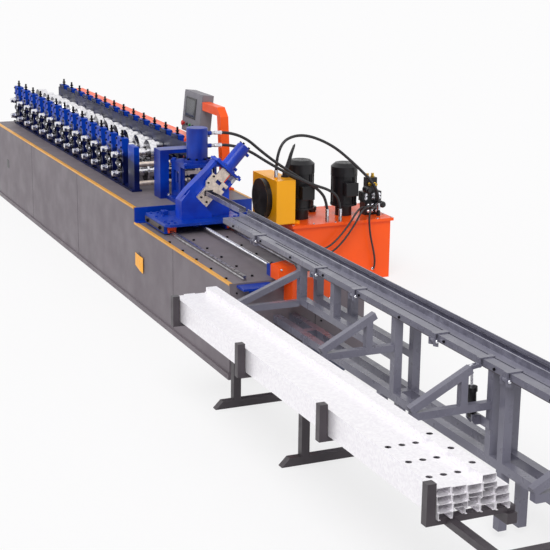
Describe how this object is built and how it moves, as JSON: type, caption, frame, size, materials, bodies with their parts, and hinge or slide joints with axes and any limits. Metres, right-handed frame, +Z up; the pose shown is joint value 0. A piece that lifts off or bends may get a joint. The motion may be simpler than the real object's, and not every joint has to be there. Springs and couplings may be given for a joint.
{
  "type": "roll forming machine",
  "caption": "Cold roll forming line for steel studs: cabinet with roll stands, punching press, flying shear, hydraulic power unit, run-out table and collecting rack.",
  "frame": {"origin": "on the floor in the pass-line plane, under the step between the upper deck and the lower bed", "axes": "+X along the feed direction towards the run-out table, +Y across to the power unit side, +Z up"},
  "size_m": [11.012, 2.894, 1.513],
  "materials": {
    "painted_grey": "satin",
    "painted_blue": "gloss",
    "black_steel": "satin",
    "painted_orange": "gloss",
    "chromed_steel": "polished",
    "bright_steel": "satin",
    "table_grey": "satin",
    "rack_grey": "satin",
    "galvanised": "satin",
    "hose_rubber": "matte",
    "cooler_yellow": "gloss",
    "dark_steel": "satin"
  },
  "bodies": {
    "machine": {"adjusting_screws": "black_steel", "base_cabinet": "painted_grey", "bearing_chocks": "dark_steel", "chain_guard": "painted_orange", "control_arm": "painted_orange", "control_box": "painted_grey", "cooler": "cooler_yellow", "cooler_hose": "hose_rubber", "discharge_arms": "table_grey", "drive_blocks": "painted_blue", "drive_guard": "painted_orange", "drive_motor": "table_grey", "linear_rails": "bright_steel", "power_unit": "painted_orange", "profile": "galvanised", "pump_set": "black_steel", "punch_hose_1": "hose_rubber", "punch_hose_2": "hose_rubber", "punch_press": "painted_blue", "rack_frame": "rack_grey", "roll_stands": "painted_blue", "strip_guides": "bright_steel", "stud_stack": "galvanised", "table_frame": "table_grey"},
    "punch_tool": {"punch_ram": "bright_steel"},
    "screw": {"ball_screw": "bright_steel"},
    "carriage": {"sled": "painted_blue", "shear_head": "painted_blue", "die_plate": "bright_steel"},
    "blade": {"shear_blade": "bright_steel"},
    "trough": {"table_trough": "table_grey", "cut_stud": "galvanised"},
    "cylinder": {"tip_barrel": "chromed_steel"},
    "piston": {"tip_rod": "chromed_steel"},
    "lower_shaft_01": {"lower_roll_01": "chromed_steel"},
    "upper_shaft_01": {"upper_roll_01": "chromed_steel"},
    "lower_shaft_02": {"lower_roll_02": "chromed_steel"},
    "upper_shaft_02": {"upper_roll_02": "chromed_steel"},
    "lower_shaft_03": {"lower_roll_03": "chromed_steel"},
    "upper_shaft_03": {"upper_roll_03": "chromed_steel"},
    "lower_shaft_04": {"lower_roll_04": "chromed_steel"},
    "upper_shaft_04": {"upper_roll_04": "chromed_steel"},
    "lower_shaft_05": {"lower_roll_05": "chromed_steel"},
    "upper_shaft_05": {"upper_roll_05": "chromed_steel"},
    "lower_shaft_06": {"lower_roll_06": "chromed_steel"},
    "upper_shaft_06": {"upper_roll_06": "chromed_steel"},
    "lower_shaft_07": {"lower_roll_07": "chromed_steel"},
    "upper_shaft_07": {"upper_roll_07": "chromed_steel"},
    "lower_shaft_08": {"lower_roll_08": "chromed_steel"},
    "upper_shaft_08": {"upper_roll_08": "chromed_steel"},
    "lower_shaft_09": {"lower_roll_09": "chromed_steel"},
    "upper_shaft_09": {"upper_roll_09": "chromed_steel"},
    "lower_shaft_10": {"lower_roll_10": "chromed_steel"},
    "upper_shaft_10": {"upper_roll_10": "chromed_steel"},
    "lower_shaft_11": {"lower_roll_11": "chromed_steel"},
    "upper_shaft_11": {"upper_roll_11": "chromed_steel"},
    "lower_shaft_12": {"lower_roll_12": "chromed_steel"},
    "upper_shaft_12": {"upper_roll_12": "chromed_steel"},
    "lower_shaft_13": {"lower_roll_13": "chromed_steel"},
    "upper_shaft_13": {"upper_roll_13": "chromed_steel"}
  },
  "joints": [
    {"name": "lower_spin_01", "type": "hinge", "parent": "machine", "child": "lower_shaft_01", "pos_m": [-4.536, 0, 0.878], "axis": [0, 1, 0], "continuous": true},
    {"name": "upper_spin_01", "type": "hinge", "parent": "machine", "child": "upper_shaft_01", "pos_m": [-4.536, 0, 1.041], "axis": [0, 1, 0], "continuous": true},
    {"name": "lower_spin_02", "type": "hinge", "parent": "machine", "child": "lower_shaft_02", "pos_m": [-4.238, 0, 0.878], "axis": [0, 1, 0], "continuous": true},
    {"name": "upper_spin_02", "type": "hinge", "parent": "machine", "child": "upper_shaft_02", "pos_m": [-4.238, 0, 1.041], "axis": [0, 1, 0], "continuous": true},
    {"name": "lower_spin_03", "type": "hinge", "parent": "machine", "child": "lower_shaft_03", "pos_m": [-3.94, 0, 0.878], "axis": [0, 1, 0], "continuous": true},
    {"name": "upper_spin_03", "type": "hinge", "parent": "machine", "child": "upper_shaft_03", "pos_m": [-3.94, 0, 1.041], "axis": [0, 1, 0], "continuous": true},
    {"name": "lower_spin_04", "type": "hinge", "parent": "machine", "child": "lower_shaft_04", "pos_m": [-3.642, 0, 0.878], "axis": [0, 1, 0], "continuous": true},
    {"name": "upper_spin_04", "type": "hinge", "parent": "machine", "child": "upper_shaft_04", "pos_m": [-3.642, 0, 1.041], "axis": [0, 1, 0], "continuous": true},
    {"name": "lower_spin_05", "type": "hinge", "parent": "machine", "child": "lower_shaft_05", "pos_m": [-3.344, 0, 0.878], "axis": [0, 1, 0], "continuous": true},
    {"name": "upper_spin_05", "type": "hinge", "parent": "machine", "child": "upper_shaft_05", "pos_m": [-3.344, 0, 1.041], "axis": [0, 1, 0], "continuous": true},
    {"name": "lower_spin_06", "type": "hinge", "parent": "machine", "child": "lower_shaft_06", "pos_m": [-3.046, 0, 0.878], "axis": [0, 1, 0], "continuous": true},
    {"name": "upper_spin_06", "type": "hinge", "parent": "machine", "child": "upper_shaft_06", "pos_m": [-3.046, 0, 1.041], "axis": [0, 1, 0], "continuous": true},
    {"name": "lower_spin_07", "type": "hinge", "parent": "machine", "child": "lower_shaft_07", "pos_m": [-2.748, 0, 0.878], "axis": [0, 1, 0], "continuous": true},
    {"name": "upper_spin_07", "type": "hinge", "parent": "machine", "child": "upper_shaft_07", "pos_m": [-2.748, 0, 1.041], "axis": [0, 1, 0], "continuous": true},
    {"name": "lower_spin_08", "type": "hinge", "parent": "machine", "child": "lower_shaft_08", "pos_m": [-2.45, 0, 0.878], "axis": [0, 1, 0], "continuous": true},
    {"name": "upper_spin_08", "type": "hinge", "parent": "machine", "child": "upper_shaft_08", "pos_m": [-2.45, 0, 1.041], "axis": [0, 1, 0], "continuous": true},
    {"name": "lower_spin_09", "type": "hinge", "parent": "machine", "child": "lower_shaft_09", "pos_m": [-2.152, 0, 0.878], "axis": [0, 1, 0], "continuous": true},
    {"name": "upper_spin_09", "type": "hinge", "parent": "machine", "child": "upper_shaft_09", "pos_m": [-2.152, 0, 1.041], "axis": [0, 1, 0], "continuous": true},
    {"name": "lower_spin_10", "type": "hinge", "parent": "machine", "child": "lower_shaft_10", "pos_m": [-1.854, 0, 0.878], "axis": [0, 1, 0], "continuous": true},
    {"name": "upper_spin_10", "type": "hinge", "parent": "machine", "child": "upper_shaft_10", "pos_m": [-1.854, 0, 1.041], "axis": [0, 1, 0], "continuous": true},
    {"name": "lower_spin_11", "type": "hinge", "parent": "machine", "child": "lower_shaft_11", "pos_m": [-1.556, 0, 0.878], "axis": [0, 1, 0], "continuous": true},
    {"name": "upper_spin_11", "type": "hinge", "parent": "machine", "child": "upper_shaft_11", "pos_m": [-1.556, 0, 1.041], "axis": [0, 1, 0], "continuous": true},
    {"name": "lower_spin_12", "type": "hinge", "parent": "machine", "child": "lower_shaft_12", "pos_m": [-1.258, 0, 0.878], "axis": [0, 1, 0], "continuous": true},
    {"name": "upper_spin_12", "type": "hinge", "parent": "machine", "child": "upper_shaft_12", "pos_m": [-1.258, 0, 1.041], "axis": [0, 1, 0], "continuous": true},
    {"name": "lower_spin_13", "type": "hinge", "parent": "machine", "child": "lower_shaft_13", "pos_m": [-0.96, 0, 0.878], "axis": [0, 1, 0], "continuous": true},
    {"name": "upper_spin_13", "type": "hinge", "parent": "machine", "child": "upper_shaft_13", "pos_m": [-0.96, 0, 1.041], "axis": [0, 1, 0], "continuous": true},
    {"name": "punch_stroke", "type": "slide", "parent": "machine", "child": "punch_tool", "axis": [0, 0, 1], "range_m": [-0.03, 0]},
    {"name": "carriage_travel", "type": "slide", "parent": "machine", "child": "carriage", "axis": [1, 0, 0], "range_m": [0, 0.45]},
    {"name": "screw_turn", "type": "hinge", "parent": "machine", "child": "screw", "pos_m": [0.07, -0.075, 0.704], "axis": [1, 0, 0], "continuous": true},
    {"name": "blade_stroke", "type": "slide", "parent": "carriage", "child": "blade", "axis": [0, 0.682, 0.7314], "range_m": [-0.05, 0]},
    {"name": "trough_tip", "type": "hinge", "parent": "machine", "child": "trough", "pos_m": [1.1, -0.168, 0.87], "axis": [1, 0, 0], "range_deg": [0, 28]},
    {"name": "barrel_swing", "type": "hinge", "parent": "machine", "child": "cylinder", "pos_m": [4.6, -0.193, 0.6], "axis": [1, 0, 0], "range_deg": [-1.5, 0]},
    {"name": "piston_stroke", "type": "slide", "parent": "cylinder", "child": "piston", "axis": [0, -0.0477, 0.9989], "range_m": [-0.018, 0]}
  ],
  "couplings": [
    {"joint": "upper_spin_01", "follows": "lower_spin_01", "ratio": -1},
    {"joint": "lower_spin_02", "follows": "lower_spin_01", "ratio": 1},
    {"joint": "upper_spin_02", "follows": "lower_spin_01", "ratio": -1},
    {"joint": "lower_spin_03", "follows": "lower_spin_01", "ratio": 1},
    {"joint": "upper_spin_03", "follows": "lower_spin_01", "ratio": -1},
    {"joint": "lower_spin_04", "follows": "lower_spin_01", "ratio": 1},
    {"joint": "upper_spin_04", "follows": "lower_spin_01", "ratio": -1},
    {"joint": "lower_spin_05", "follows": "lower_spin_01", "ratio": 1},
    {"joint": "upper_spin_05", "follows": "lower_spin_01", "ratio": -1},
    {"joint": "lower_spin_06", "follows": "lower_spin_01", "ratio": 1},
    {"joint": "upper_spin_06", "follows": "lower_spin_01", "ratio": -1},
    {"joint": "lower_spin_07", "follows": "lower_spin_01", "ratio": 1},
    {"joint": "upper_spin_07", "follows": "lower_spin_01", "ratio": -1},
    {"joint": "lower_spin_08", "follows": "lower_spin_01", "ratio": 1},
    {"joint": "upper_spin_08", "follows": "lower_spin_01", "ratio": -1},
    {"joint": "lower_spin_09", "follows": "lower_spin_01", "ratio": 1},
    {"joint": "upper_spin_09", "follows": "lower_spin_01", "ratio": -1},
    {"joint": "lower_spin_10", "follows": "lower_spin_01", "ratio": 1},
    {"joint": "upper_spin_10", "follows": "lower_spin_01", "ratio": -1},
    {"joint": "lower_spin_11", "follows": "lower_spin_01", "ratio": 1},
    {"joint": "upper_spin_11", "follows": "lower_spin_01", "ratio": -1},
    {"joint": "lower_spin_12", "follows": "lower_spin_01", "ratio": 1},
    {"joint": "upper_spin_12", "follows": "lower_spin_01", "ratio": -1},
    {"joint": "lower_spin_13", "follows": "lower_spin_01", "ratio": 1},
    {"joint": "upper_spin_13", "follows": "lower_spin_01", "ratio": -1},
    {"joint": "screw_turn", "follows": "carriage_travel", "rad_per_m": 314.16},
    {"joint": "barrel_swing", "follows": "trough_tip", "ratio": -0.044},
    {"joint": "piston_stroke", "follows": "trough_tip", "m_per_rad": -0.036159}
  ]
}
